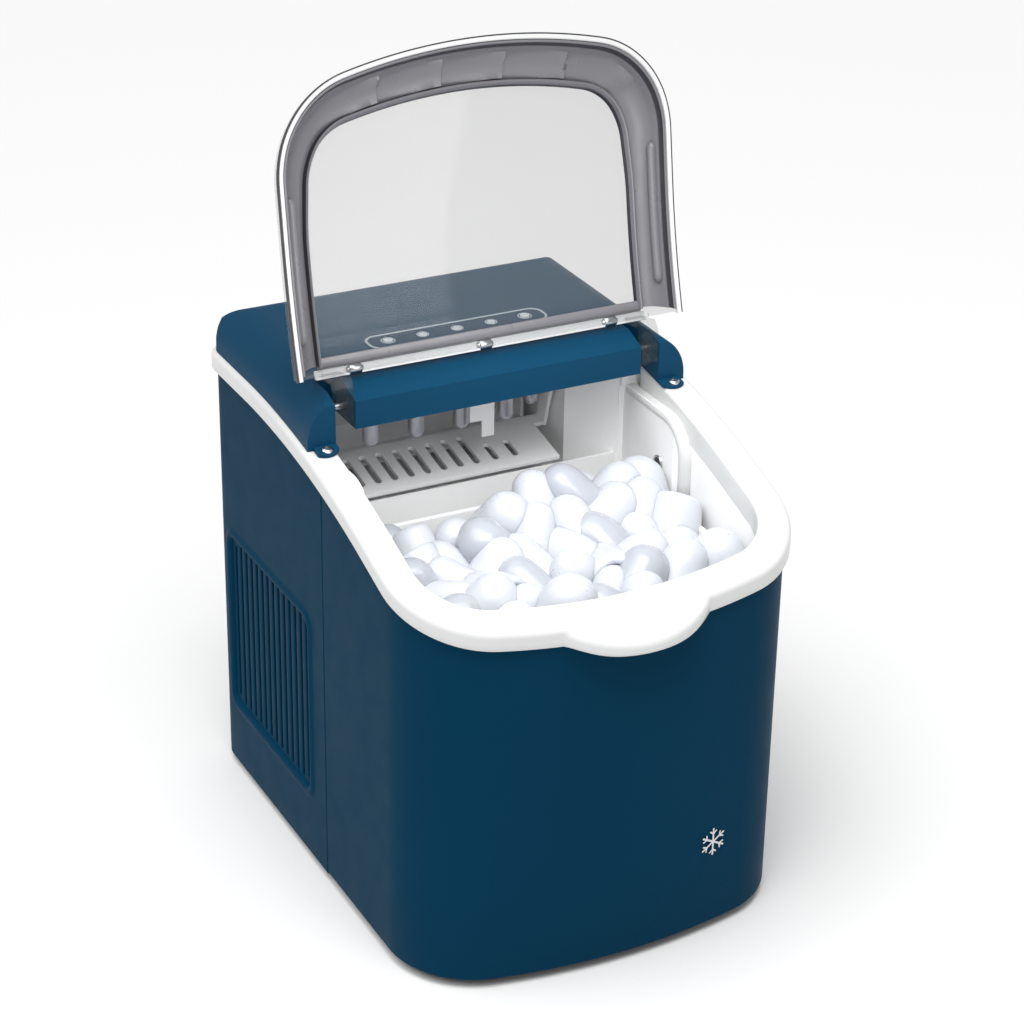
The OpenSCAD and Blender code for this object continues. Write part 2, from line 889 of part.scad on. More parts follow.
module lid_solid(g, base) {
  rings = concat([lid_ring(g, base, g)], [lid_ring(g, lid_skirt, g)],
    [for (a = lid_angles) lid_ring(g + (lid_r - g) * (1 - cos(a)),
      lid_skirt + (lid_h - lid_skirt - g) * sin(a), g)]);
  n = len(rings[0]);
  m = len(rings);
  polyhedron(
    points = [for (r = rings) for (p = r) p],
    faces = concat(
      [for (k = [0 : m - 2]) for (j = [0 : n - 2])
        [k * n + j, (k + 1) * n + j, (k + 1) * n + j + 1, k * n + j + 1]],
      [for (k = [0 : m - 2]) [k * n + n - 1, (k + 1) * n + n - 1, (k + 1) * n, k * n]],
      [for (j = [0 : n / 2 - 2])
        [(m - 1) * n + j, m * n - 1 - j, m * n - 2 - j, (m - 1) * n + j + 1]],
      [for (j = [0 : n / 2 - 2]) [j, j + 1, n - 2 - j, n - 1 - j]]));
}

module window_plan() {
  intersection() {
    translate([0, 5.5]) lid_plan(18);
    translate([-130, -180]) square([260, 182]);
  }
}

// Room over the cover's two screws.
module screw_notch() {
  for (s = [0, 1])
    mirror([s, 0, 0])
      slab([screw_x - 10, 4, 240], [half_w - 2.4, 20, rim_z(screw_y) + rim_h + 5.4]);
}

module lid_skin() {
  color(clear_grey, 0.4)
    lid_pose()
      difference() {
        lid_solid(0, 3.3);
        lid_solid(lid_t, -5);
        screw_notch();
      }
}

module lid_frame() {
  color("#a8abae")
    lid_pose()
      difference() {
        lid_solid(lid_t + 0.3, 3.3);
        lid_solid(lid_t + 2, -5);
        screw_notch();
        translate([0, 0, 150]) linear_extrude(200) window_plan();
      }
}

module lid_edge_trim() {
  color(white)
    lid_pose()
      difference() {
        intersection() {
          translate([0, 0, 150]) linear_extrude(170)
            difference() {
              lid_plan(0);
              lid_plan(2.2);
            }
          under_rim(rim_h + lid_gap + 3);
        }
        under_rim(rim_h + lid_gap);
      }
}

clip_x = [-82, 0, 82];

module lid_clips() {
  color(metal)
    for (x = clip_x)
      difference() {
        x_bar(38, 310, 1.9, x - 4.5, x + 4.5);
        x_bar(38, 310, 1, x - 6, x - 2.5);
        x_bar(38, 310, 1, x + 2.5, x + 6);
      }
}

module arm_profile() {
  union() {
    polygon([[14.6, 290], [14.6, 310], [19, 315.2], [36, 311.6], [36, 308.8], [22, 310.4],
      [19.4, 307], [19.4, 300], [24, 298.6], [24, 289.4], [16, 288]]);
    translate([hinge_y, hinge_z]) circle(r = 5.2);
  }
}

arm_x0 = 92.2;
arm_w = 10.8;

module hinge_arm() {
  difference() {
    translate([arm_x0, 0, 0]) rotate([90, 0, 90]) linear_extrude(arm_w) arm_profile();
    slab([arm_x0 + 2.2, 18.4, 284], [arm_x0 + arm_w - 2.2, 31, 308.4]);
    x_bar(hinge_y, hinge_z, pin_r + 0.06, arm_x0 - 2, arm_x0 + arm_w + 2);
  }
}

module hinge_arms() {
  color(clear_grey)
    for (s = [0, 1]) mirror([s, 0, 0]) hinge_arm();
}

module hinge_pins() {
  color(metal)
    for (s = [0, 1])
      mirror([s, 0, 0]) x_bar(hinge_y, hinge_z, pin_r, slot_x[0] - 2.6, slot_x[1] + 3);
}

// ---------------------------------------------------------------- cooling works

comp_x = 34;
comp_y = 104;
comp_r = 50;
comp_z = [19, 150];

module compressor() {
  color("#1c1d1f") {
    difference() {
      union() {
        translate([comp_x, comp_y, comp_z[0]]) {
          cylinder(r = comp_r, h = comp_z[1] - comp_z[0] - 18);
          translate([0, 0, comp_z[1] - comp_z[0] - 18])
            cylinder(r1 = comp_r, r2 = comp_r - 16, h = 18);
        }
        for (a = [45 : 90 : 315])
          translate([comp_x, comp_y, comp_z[0]]) rotate([0, 0, a])
            translate([comp_r - 6, -8, 0]) cube([16, 16, 3]);
      }
      for (a = [45 : 90 : 315])
        translate([comp_x, comp_y, comp_z[0] - 1]) rotate([0, 0, a])
          translate([comp_r + 4, 0, 0]) cylinder(r = 3, h = 6);
    }
  }
}

module compressor_mounts() {
  color("#232325")
    for (a = [45 : 90 : 315])
      translate([comp_x, comp_y, pan_z + 3.1]) rotate([0, 0, a])
        translate([comp_r + 4, 0, 0]) {
          cylinder(r = 6, h = comp_z[0] - pan_z - 3.2);
          cylinder(r = 2.9, h = comp_z[0] - pan_z + 3);
        }
}

cond_x = [-113, -97];
cond_y = [56, 140];
cond_z = [48, 168];

module condenser() {
  color("#8a6a4d") {
    for (z = [cond_z[0] + 8 : 13 : cond_z[1] - 6])
      translate([(cond_x[0] + cond_x[1]) / 2, cond_y[0] - 4, z])
        rotate([-90, 0, 0]) cylinder(r = 2.6, h = cond_y[1] - cond_y[0] + 8);
    for (y = [cond_y[0] : 5.5 : cond_y[1]])
      slab([cond_x[0], y, cond_z[0]], [cond_x[1], y + 0.8, cond_z[1]]);
  }
}

fan_y = 104;
fan_z = 108;
fan_x = [-92, -70];
fan_r = 45;

module fan_shroud() {
  color(dark)
    difference() {
      slab([fan_x[0], fan_y - 52, fan_z - 52], [fan_x[1], fan_y + 52, fan_z + 52]);
      x_bar(fan_y, fan_z, fan_r + 2, fan_x[0] - 1, fan_x[1] + 1);
    }
}

module fan_motor() {
  color(metal)
    difference() {
      union() {
        x_bar(fan_y, fan_z, 16, fan_x[1] + 0.2, fan_x[1] + 27);
        slab([fan_x[1] + 0.2, fan_y - 3, fan_z - 51], [fan_x[1] + 3.2, fan_y + 3, fan_z + 51]);
        slab([fan_x[1] + 0.2, fan_y - 51, fan_z - 3], [fan_x[1] + 3.2, fan_y + 51, fan_z + 3]);
      }
      x_bar(fan_y, fan_z, 2.05, fan_x[1] - 1, fan_x[1] + 14);
    }
}

module fan_blade() {
  color("#d9dde0")
    translate([fan_x[0] + 10, fan_y, fan_z])
      rotate([0, 90, 0]) {
        difference() {
          translate([0, 0, -7]) cylinder(r = 13, h = 14);
          translate([0, 0, 3]) cylinder(r = 10.5, h = 6);
        }
        cylinder(r = 2, h = 24);
        for (k = [0 : 4])
          rotate([0, 0, k * 72])
            translate([11, 0, 0]) rotate([38, 0, 0]) translate([0, -11, -0.8])
              cube([fan_r - 13, 22, 1.6]);
      }
}

// Refrigerant pipes stand on the rear wall and meet the evaporator's two tails.
pipe_y = 156.5;
pipe_top = 279;

module filter_drier() {
  color("#b87a4b") {
    rod([-40, 152, 60], [-40, 152, 120], 8);
    rod([-40, 152, 40], [-40, 152, 61], 2.2);
    rod([-40, pipe_y, 116], [-40, pipe_y, 240], 2.2);
    rod([-40, pipe_y, 237], [evap_x - evap_tail, pipe_y, 237], 1.9);
    rod([evap_x - evap_tail, pipe_y, 234], [evap_x - evap_tail, pipe_y, pipe_top], 2.2);
  }
}

module suction_tube() {
  color("#b87a4b") {
    rod([comp_x + 30, pipe_y, 60], [comp_x + 30, pipe_y, 220], 3);
    rod([comp_x + 30, pipe_y, 216], [evap_x + evap_tail, pipe_y, 216], 2.6);
    rod([evap_x + evap_tail, pipe_y, 212], [evap_x + evap_tail, pipe_y, pipe_top], 3);
  }
}

pump_pos = [99, 67];

module water_pump() {
  color("#3a3d41") {
    translate([pump_pos.x, pump_pos.y, pan_z + 3.2]) cylinder(r = 14, h = 30);
    translate([pump_pos.x, pump_pos.y, pan_z + 33]) cylinder(r = 9, h = 12);
    translate([pump_pos.x, 49, 31]) rotate([-90, 0, 0]) cylinder(r = 3.5, h = 8);
  }
}

module pump_tube() {
  color("#e6e9ea") {
    rod([107, 66, 55], [107, 66, 294.6], 3);
    rod([107, 66, 291.4], [60, 118, 291.4], 2.6);
  }
}

module power_board() {
  color("#2f6b45") {
    slab([108, 84, 60], [109.6, 150, 150]);
    slab([98, 88, 70], [107.9, 108, 94]);
    for (y = [118, 134])
      translate([107.9, y, 92]) rotate([0, -90, 0]) cylinder(r = 6, h = 14);
    slab([100, 88, 112], [107.9, 132, 130]);
  }
}

module drain_tube() {
  color("#e6e9ea")
    difference() {
      x_bar(drain_y, drain_z, 3.9, 101, 117.6);
      x_bar(drain_y, drain_z, 2.4, 100, 119);
    }
}

module drain_cap() {
  color(blue) {
    x_bar(drain_y, drain_z, 9, half_w + 0.3, half_w + 2.8);
    x_bar(drain_y, drain_z, 2.2, 108, half_w + 1);
  }
}

module cord_gland() {
  color(dark)
    translate([gland_x, rear_y, gland_z])
      rotate([90, 0, 0])
        difference() {
          union() {
            cylinder(r = 6, h = 8);
            translate([0, 0, wall + 0.3]) cylinder(r = 9, h = 3);
          }
          translate([0, 0, -1]) cylinder(r = 3.4, h = 12);
        }
}

module housing_screws() {
  color(metal)
    for (x = [-95, 95])
      for (y = [-20, 60])
        translate([x, y, 1.6]) {
          cylinder(r = 3.4, h = pan_z - 1.7);
          cylinder(r = 1.6, h = 3);
        }
}

module foam_block() {
  color("#e9e7de")
    slab([chamber_x[0], 60, 172], [chamber_x[1], 148, chamber_z - liner_t - 0.4]);
}

base_pan();
rubber_feet();
rear_housing();
front_shell();
rim_collar();
top_cover();
control_overlay();
indicator_lamps();
power_button();
select_button();
control_board();
cover_screws();
front_badge();
bin_liner();
ice_sensors();
sensor_bracket();
evaporator_tube();
freezing_fingers();
water_tray();
tray_drive_shaft();
ice_pusher();
tray_gearmotor();
ice_basket();
ice_bullets();
lid_skin();
lid_frame();
lid_edge_trim();
lid_clips();
hinge_arms();
hinge_pins();
compressor();
compressor_mounts();
condenser();
fan_shroud();
fan_motor();
fan_blade();
filter_drier();
suction_tube();
water_pump();
pump_tube();
power_board();
drain_tube();
drain_cap();
cord_gland();
housing_screws();
foam_block();
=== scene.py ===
import json
import math

import bpy
import bmesh
import numpy as np
from mathutils import Matrix, Vector


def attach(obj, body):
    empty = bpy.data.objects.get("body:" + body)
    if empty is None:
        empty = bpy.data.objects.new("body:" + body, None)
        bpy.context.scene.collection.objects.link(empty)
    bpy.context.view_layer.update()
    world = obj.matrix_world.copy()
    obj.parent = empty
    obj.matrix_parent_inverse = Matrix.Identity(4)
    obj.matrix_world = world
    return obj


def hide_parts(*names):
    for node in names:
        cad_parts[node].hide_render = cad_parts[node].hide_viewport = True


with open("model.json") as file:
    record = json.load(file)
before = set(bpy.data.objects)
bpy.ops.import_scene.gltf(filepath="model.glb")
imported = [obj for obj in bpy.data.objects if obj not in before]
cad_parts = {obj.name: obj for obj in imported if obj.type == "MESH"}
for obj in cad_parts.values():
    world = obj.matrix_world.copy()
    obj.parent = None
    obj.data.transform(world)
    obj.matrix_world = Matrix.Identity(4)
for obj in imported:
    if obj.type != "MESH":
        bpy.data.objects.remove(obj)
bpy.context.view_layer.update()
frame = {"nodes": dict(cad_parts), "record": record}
NODES = frame["nodes"]
MM = 0.001


# ---------------------------------------------------------------- materials

def lin(h):
    """A colour given as #rrggbb, as linear RGB."""
    c = [int(h[i:i + 2], 16) / 255 for i in (1, 3, 5)]
    return [v / 12.92 if v <= 0.04045 else ((v + 0.055) / 1.055) ** 2.4 for v in c]


def new_mat(name):
    """A node material with its tree and its Principled shader."""
    m = bpy.data.materials.new(name)
    m.use_nodes = True
    n = m.node_tree
    b = n.nodes["Principled BSDF"]
    return m, n, b


def noise(n, scale, detail=3.0, rough=0.5):
    """Noise in object coordinates, as a value."""
    c = n.nodes.new("ShaderNodeTexCoord")
    t = n.nodes.new("ShaderNodeTexNoise")
    t.inputs["Scale"].default_value = scale
    t.inputs["Detail"].default_value = detail
    t.inputs["Roughness"].default_value = rough
    n.links.new(c.outputs["Object"], t.inputs["Vector"])
    return t.outputs["Fac"]


def ramp(n, fac, lo, hi, a, b):
    """A value mapped from lo..hi to a..b."""
    r = n.nodes.new("ShaderNodeMapRange")
    r.inputs["From Min"].default_value = lo
    r.inputs["From Max"].default_value = hi
    r.inputs["To Min"].default_value = a
    r.inputs["To Max"].default_value = b
    n.links.new(fac, r.inputs["Value"])
    return r.outputs["Result"]


def mix_rgb(n, fac, a, b):
    """A colour between a and b."""
    m = n.nodes.new("ShaderNodeMix")
    m.data_type = "RGBA"
    n.links.new(fac, m.inputs["Factor"])
    m.inputs["A"].default_value = (*a, 1)
    m.inputs["B"].default_value = (*b, 1)
    return m.outputs["Result"]


def bump(n, b, fac, strength, dist):
    """Bumps the shader by a value."""
    k = n.nodes.new("ShaderNodeBump")
    k.inputs["Strength"].default_value = strength
    k.inputs["Distance"].default_value = dist
    n.links.new(fac, k.inputs["Height"])
    n.links.new(k.outputs["Normal"], b.inputs["Normal"])


def plastic(name, color, rough, spread=0.04, shade=0.93, grain=900, grain_mm=0.012, sss=0.0,
            radius=0.002, coat=0.0, metal=0.0, trans=0.0, alpha=1.0, spec=0.5):
    """Moulded plastic: slight colour and gloss drift, fine mould grain."""
    m, n, b = new_mat(name)
    base = lin(color)
    big = noise(n, 9, 2)
    n.links.new(mix_rgb(n, ramp(n, big, 0.3, 0.7, 0, 1), [v * shade for v in base],
                        [min(1, v * (2 - shade)) for v in base]), b.inputs["Base Color"])
    mid = noise(n, 60, 4)
    n.links.new(ramp(n, mid, 0.3, 0.7, rough - spread, rough + spread), b.inputs["Roughness"])
    fine = noise(n, grain, 2)
    bump(n, b, fine, 0.5, grain_mm * MM)
    b.inputs["Metallic"].default_value = metal
    b.inputs["Coat Weight"].default_value = coat
    b.inputs["Coat Roughness"].default_value = 0.12
    b.inputs["Subsurface Weight"].default_value = sss
    b.inputs["Subsurface Radius"].default_value = (radius, radius, radius)
    b.inputs["Subsurface Scale"].default_value = 1.0
    b.inputs["Specular IOR Level"].default_value = spec
    b.inputs["Transmission Weight"].default_value = trans
    b.inputs["Alpha"].default_value = alpha
    return m


MATS = {
    "blue_shell": plastic("blue_shell", "#04334b", 0.45, shade=0.975, grain=1500, grain_mm=0.002,
                          spec=0.02),
    "rim_white": plastic("rim_white", "#d0d1d0", 0.22, shade=0.995, grain_mm=0.004, sss=0.05),
    "white_plastic": plastic("white_plastic", "#f6f6f6", 0.34, shade=0.985, grain_mm=0.008,
                             sss=0.05),
    "grey_plastic": plastic("grey_plastic", "#6f6e73", 0.33, spread=0.08, shade=0.94),
    "overlay": plastic("overlay", "#a9b4bb", 0.35),
    "key_plastic": plastic("key_plastic", "#c9d0d4", 0.3),
    "steel": plastic("steel", "#c7c9cc", 0.22, metal=1.0, grain=500),
    "finger_metal": plastic("finger_metal", "#c3c3c8", 0.3, metal=1.0, grain=500),
    "copper_tube": plastic("copper_tube", "#b87a4b", 0.3, metal=1.0),
    "dark_plastic": plastic("dark_plastic", "#26282b", 0.5),
    "rubber": plastic("rubber", "#1a1a1c", 0.75),
    "compressor_case": plastic("compressor_case", "#18191b", 0.35),
    "fin_metal": plastic("fin_metal", "#b5b0a9", 0.35, metal=0.9),
    "circuit_board": plastic("circuit_board", "#1f5c3a", 0.35),
    "hose": plastic("hose", "#dfe3e3", 0.3),
    "foam": plastic("foam", "#e5e2d6", 0.9, grain=300, grain_mm=0.2),
    "ice": plastic("ice", "#d4d7de", 0.3, shade=0.97, sss=0.5, radius=0.004, trans=0.2,
                   grain=180, grain_mm=0.2),
    "clear_plastic": plastic("clear_plastic", "#6d6f6e", 0.08, alpha=0.185, grain_mm=0.002),
}
CLEAR_ICE = plastic("clear_ice", "#d0d4dc", 0.16, shade=0.96, sss=0.5, radius=0.004, trans=0.4,
                    grain=160, grain_mm=0.4)
SMOKED = plastic("smoked_plastic", "#2a3436", 0.06, alpha=0.17, grain_mm=0.002, coat=0.6)
# Darker copy of the frame grey for the step and crease faces of the lid frame: painted shade in the
# creases.
FRAME_PAINTED_SHADE = plastic("frame_painted_shade", "#333237", 0.36, spread=0.08, shade=0.93)
STRIP = plastic("lid_strip", "#d3d5d6", 0.2, spread=0.1, shade=0.93, grain=300, grain_mm=0.02)
# A lighter copy of the shell blue for the top cover: painted light standing in for the brighter
# light on the top.
COVER_BLUE_PAINTED_LIGHT = plastic("cover_blue_painted_light", "#0a3a55", 0.42, shade=0.975, grain=1500, grain_mm=0.002,
                     spec=0.08)
PANEL_BLUE = plastic("panel_blue", "#0a3650", 0.36, shade=0.96, grain=1500, grain_mm=0.002,
                     spec=0.1)
for entry in frame["record"]["subparts"]:
    o = NODES[entry["node"]]
    o.data.materials.clear()
    o.data.materials.append(MATS[entry["material_slot"]])
NODES["control_overlay"].data.materials[0] = PANEL_BLUE
NODES["top_cover"].data.materials[0] = COVER_BLUE_PAINTED_LIGHT
NODES["hinge_arms"].data.materials[0] = SMOKED


def soften(o, width, deg=32, segments=2):
    """Round a CAD node's sharp edges and shade it smoothly between them."""
    for p in o.data.polygons:
        p.use_smooth = True
    if width:
        b = o.modifiers.new("edge", "BEVEL")
        b.width = width * MM
        b.segments = segments
        b.limit_method = "ANGLE"
        b.angle_limit = math.radians(deg)
        b.use_clamp_overlap = True
    m = o.modifiers.new("smooth", "EDGE_SPLIT")
    m.split_angle = math.radians(deg)


EDGE = {
    "top_cover": 0.7, "bin_liner": 0.8, "ice_pusher": 0.5, "ice_basket": 0.6, "hinge_arms": 0.6,
    "lid_edge_trim": 0.5, "cover_screws": 0.15, "water_tray": 0.5, "freezing_fingers": 0,
    "sensor_bracket": 0.3, "power_button": 0.3, "select_button": 0.3, "indicator_lamps": 0.3,
    "drain_cap": 0.5, "rubber_feet": 0.5, "front_badge": 0.15, "control_overlay": 0.2,
}
for node, o in NODES.items():
    soften(o, EDGE.get(node, 0))

# ---------------------------------------------------------------- outline of the body

HALF_W, FRONT_Y, REAR_Y = 120.5, -150.0, 164.5
BOW_R, CORNER_R, REAR_R = 356.0, 53.0, 16.0
SEAM_Y = -2.5
BOW_CY = FRONT_Y + BOW_R
CORNER_X = HALF_W - CORNER_R
CORNER_Y = BOW_CY - math.sqrt((BOW_R - CORNER_R) ** 2 - CORNER_X ** 2)
BOW_HALF = math.asin(CORNER_X / (BOW_R - CORNER_R))
RIM_FLAT_Z, RIM_ARC_Y, RIM_ARC_R, RIM_SLOPE = 273.1, 102.6, 524.0, math.radians(18.5)
RIM_TAN_Y = RIM_ARC_Y - RIM_ARC_R * math.sin(RIM_SLOPE)
RIM_TAN_Z = RIM_FLAT_Z - RIM_ARC_R * (1 - math.cos(RIM_SLOPE))
RIM_H, RIM_OUT = 10.5, 3.5
N_BOW, N_CORNER, N_FRONT, N_SIDE, N_REAR, N_BACK = 48, 24, 14, 30, 8, 8
SEAM_I = N_BOW + N_CORNER + N_FRONT


def rim_z(y):
    """Height of the rim's lower edge: level at the back, an arc, then a straight slope."""
    y = np.asarray(y, float)
    arc = RIM_FLAT_Z - RIM_ARC_R + np.sqrt(RIM_ARC_R ** 2 - np.clip(RIM_ARC_Y - y, 0, 300) ** 2)
    line = RIM_TAN_Z - (RIM_TAN_Y - y) * math.tan(RIM_SLOPE)
    return np.where(y >= RIM_ARC_Y, RIM_FLAT_Z, np.where(y >= RIM_TAN_Y, arc, line))


def front_points(i):
    """Right half of the front at inset i: the shallow bow, then the corner."""
    a = np.linspace(0, BOW_HALF, N_BOW + 1)
    bow = np.stack([(BOW_R - i) * np.sin(a), BOW_CY - (BOW_R - i) * np.cos(a)], 1)
    a = np.linspace(BOW_HALF, math.pi / 2, N_CORNER + 1)[1:]
    corner = np.stack([CORNER_X + (CORNER_R - i) * np.sin(a),
                       CORNER_Y - (CORNER_R - i) * np.cos(a)], 1)
    return np.concatenate([bow, corner])


def half_outline(i):
    """Right half of the plan at inset i, from the front's middle to the back's middle."""
    r = max(REAR_R - i, 3)
    rows = [front_points(i)]
    y = np.concatenate([np.linspace(CORNER_Y, SEAM_Y, N_FRONT + 1)[1:],
                        np.linspace(SEAM_Y, REAR_Y - i - r, N_SIDE + 1)[1:]])
    rows.append(np.stack([np.full(len(y), HALF_W - i), y], 1))
    a = np.linspace(0, math.pi / 2, N_REAR + 1)[1:]
    rows.append(np.stack([HALF_W - i - r + r * np.cos(a), REAR_Y - i - r + r * np.sin(a)], 1))
    x = np.linspace(HALF_W - i - r, 0, N_BACK + 1)[1:]
    rows.append(np.stack([x, np.full(len(x), REAR_Y - i)], 1))
    return np.concatenate(rows)


def mirror_x(p):
    """Points mirrored from the right half to the left."""
    return p * np.array([-1] + [1] * (p.shape[-1] - 1))


def full_outline(i):
    """The whole plan at inset i, as a closed loop."""
    h = half_outline(i)
    return np.concatenate([h, mirror_x(h[1:-1][::-1])])


# ---------------------------------------------------------------- mesh helpers

WELD, ICE_WELD = 2e-6, 5e-6


def clean(me, weld):
    """Joins points closer than weld, turns the faces outwards and shades them smooth."""
    bm = bmesh.new()
    bm.from_mesh(me)
    bmesh.ops.remove_doubles(bm, verts=bm.verts, dist=weld)
    bmesh.ops.recalc_face_normals(bm, faces=bm.faces)
    for f in bm.faces:
        f.smooth = True
    bm.to_mesh(me)
    bm.free()


def add_object(name, mesh, mat, body, slot, *replaced):
    """A piece that rides on a body and hides the nodes it replaces; the slot argument is not used.
    """
    mesh.materials.append(mat)
    o = bpy.data.objects.new(name, mesh)
    bpy.context.scene.collection.objects.link(o)
    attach(o, body)
    if replaced:
        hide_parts(*replaced)
    return o


def grid(name, rows, mat, body, slot, *replaced, close_u=False, close_v=False, caps=False,
         split=35, second=None, painted_shade_rows=()):
    """A surface through rows of points in mm; v runs over the rows and u along each row."""
    rows = np.asarray(rows, float) * MM
    nv, nu = rows.shape[:2]
    faces, index = [], []
    for v in range(nv if close_v else nv - 1):
        for u in range(nu if close_u else nu - 1):
            a, b = v * nu + u, v * nu + (u + 1) % nu
            c, d = (v + 1) % nv * nu + (u + 1) % nu, (v + 1) % nv * nu + u
            faces.append((a, b, c, d))
            # Faces of the listed rows take the second material; the lid frame uses this for painted
            # shade in its creases.
            index.append(1 if v in painted_shade_rows else 0)
    if caps:
        left, right = [v * nu for v in range(nv)], [v * nu + nu - 1 for v in range(nv)]
        faces += [left, right[::-1]]
        index += [0, 0]
    me = bpy.data.meshes.new(name)
    me.from_pydata(rows.reshape(-1, 3).tolist(), [], faces)
    me.polygons.foreach_set("material_index", index)
    clean(me, WELD)
    o = add_object(name, me, mat, body, slot, *replaced)
    if second:
        me.materials.append(second)
    if split:
        m = o.modifiers.new("smooth", "EDGE_SPLIT")
        m.split_angle = math.radians(split)
    return o


def arc(cx, cy, r, a0, a1, n):
    """Points along an arc, in degrees."""
    return [(cx + r * math.cos(math.radians(a)), cy + r * math.sin(math.radians(a)))
            for a in np.linspace(a0, a1, n)]


def smoothstep(t):
    """Soft step from 0 to 1."""
    t = np.clip(t, 0, 1)
    return t * t * (3 - 2 * t)


# ---------------------------------------------------------------- rim

LIP_HALF, LIP_FRONT, LIP_Z = 45.0, -168.0, 211.5
SCOOP_Y, SCOOP_Z, SCOOP_TAN, SCOOP_R = -142.4, 229.4, math.tan(math.radians(24.6)), 122.0
LIP_SAG = FRONT_Y - RIM_OUT + 2.8 - LIP_FRONT
LIP_R = (LIP_HALF ** 2 + LIP_SAG ** 2) / (2 * LIP_SAG)


def rim_row(d, dz):
    """Loop of the rim at inset d and height dz, with the lip and the finger scoop in front."""
    base = full_outline(0)
    w = 1 - smoothstep((base[:, 1] - 40) / 7)
    if d > 5:
        near, far = full_outline(d), full_outline(5 + (d - 5) * 0.1)
        p = far + (near - far) * w[:, None]
    else:
        p = full_outline(d)
    x, y = p[:, 0], p[:, 1].copy()
    edge = full_outline(-RIM_OUT)[:, 1]
    inside = (np.abs(x) < LIP_HALF + 3) & (y < -120)
    lip = LIP_FRONT + LIP_R - np.sqrt(np.clip(LIP_R ** 2 - x ** 2, 1, None))
    ext = np.where(inside, np.clip(edge - lip, 0, None), 0)
    y -= ext * (1 - smoothstep((d + 0.5) / 5.5))
    top = rim_z(y) + RIM_H
    scoop = SCOOP_Z + (y - SCOOP_Y) * SCOOP_TAN
    depth = SCOOP_R - np.hypot(x, y - (SCOOP_Y - SCOOP_R))
    t = np.where((np.abs(x) < 58) & (y < -120), smoothstep(depth / 2.2), 0)
    top = top + t * (np.minimum(scoop, top) - top)
    bottom = rim_z(p[:, 1]) + (LIP_Z - rim_z(p[:, 1])) * smoothstep(ext / 15)
    if dz >= 7.5:
        z = top + dz - RIM_H
    elif d < 3:
        z = bottom + (top - 3 - bottom) * dz / 7.5
    else:
        z = rim_z(y) + dz
    return np.stack([x, y, z], 1)


RIM_PROFILE = ([(0.4, 0.0), (-2.6, 0.0), (-3.25, 0.2), (-3.5, 0.8), (-3.5, 4), (-3.5, 7.4)]
               + arc(-0.5, 7.5, 3, 180, 90, 7) + [(d, 10.5) for d in np.linspace(0.4, 12.6, 18)]
               + arc(13.2, 8.2, 2.3, 90, 0, 6) + [(15.5, 4), (15.5, 0), (15.5, -6), (13.4, -6),
                                                  (13.4, 7.8), (-0.8, 7.8), (0.4, 3)])
grid("rim", [rim_row(d, dz) for d, dz in RIM_PROFILE], MATS["rim_white"], "machine", "rim_white",
     "rim_collar", close_u=True, close_v=True, split=50)

# ---------------------------------------------------------------- body shells

WALL = 2.4


def shell_rows(z0, front):
    """Closed wall section with a round lower edge, swept along half of the outline."""
    section = ([(WALL, z0, 0), (2.2, z0, 0)]
               + [(d, z, 0) for d, z in arc(2.2, z0 + 2.2, 2.2, 270, 180, 5)]
               + [(0, 60, 0), (0, 130, 0), (0, 5.8, 1), (WALL, 5.8, 1), (WALL, 130, 0),
                  (WALL, 60, 0)])
    rows = []
    for d, z, top in section:
        h = half_outline(d)
        h = h[:SEAM_I + 1] if front else h[SEAM_I:][::-1]
        sign = -1 if front else 1
        lip, end = h[-1].copy(), h[-1].copy()
        end[1] += sign * 0.2
        end[0] -= 0.5 if d < 1 else 0
        lip[1] += sign * 0.8
        h = np.concatenate([h[:-1], [lip, end]])
        p = np.concatenate([mirror_x(h[::-1]), h[1:]])
        rows.append(np.column_stack([p, rim_z(p[:, 1]) + z if top else np.full(len(p), float(z))]))
    return rows


front = grid("front_panel", shell_rows(5.3, True), MATS["blue_shell"], "machine", "blue_shell",
             "front_shell", close_v=True, caps=True)
rear = grid("rear_body", shell_rows(4.0, False), MATS["blue_shell"], "machine", "blue_shell",
            "rear_housing", close_v=True, caps=True, split=0)


def rounded(lo, hi, r, grow=0.0, n=8):
    """Rounded rectangle as a list of points; every grow gives the same number of points."""
    pts = []
    for cx, cy, a0 in ((hi[0] - r, lo[1] + r, -90), (hi[0] - r, hi[1] - r, 0),
                       (lo[0] + r, hi[1] - r, 90), (lo[0] + r, lo[1] + r, 180)):
        pts += arc(cx, cy, r + grow, a0, a0 + 90, n)
    return pts


def prism(pts, axis, a, b):
    """Solid between two copies of a closed outline along an axis, as a bare mesh."""
    me = bpy.data.meshes.new("cut")
    n = len(pts)
    put = {"x": lambda p, t: (t, p[0], p[1]), "y": lambda p, t: (p[0], t, p[1])}[axis]
    v = [put(p, a) for p in pts] + [put(p, b) for p in pts]
    f = [list(range(n))[::-1], list(range(n, 2 * n))]
    f += [(k, (k + 1) % n, n + (k + 1) % n, n + k) for k in range(n)]
    me.from_pydata([[c * MM for c in q] for q in v], [], f)
    bm = bmesh.new()
    bm.from_mesh(me)
    bmesh.ops.recalc_face_normals(bm, faces=bm.faces)
    bm.to_mesh(me)
    bm.free()
    return me


def cut(o, cutters):
    """Takes each cutter's volume out of an object for good."""
    tmp = []
    for me in cutters:
        c = bpy.data.objects.new("cutter", me)
        bpy.context.scene.collection.objects.link(c)
        m = o.modifiers.new("cut", "BOOLEAN")
        m.object, m.operation, m.solver = c, "DIFFERENCE", "EXACT"
        tmp.append(c)
    deps = bpy.context.evaluated_depsgraph_get()
    me = bpy.data.meshes.new_from_object(o.evaluated_get(deps))
    o.modifiers.clear()
    o.data = me
    for c in tmp:
        bpy.data.objects.remove(c)


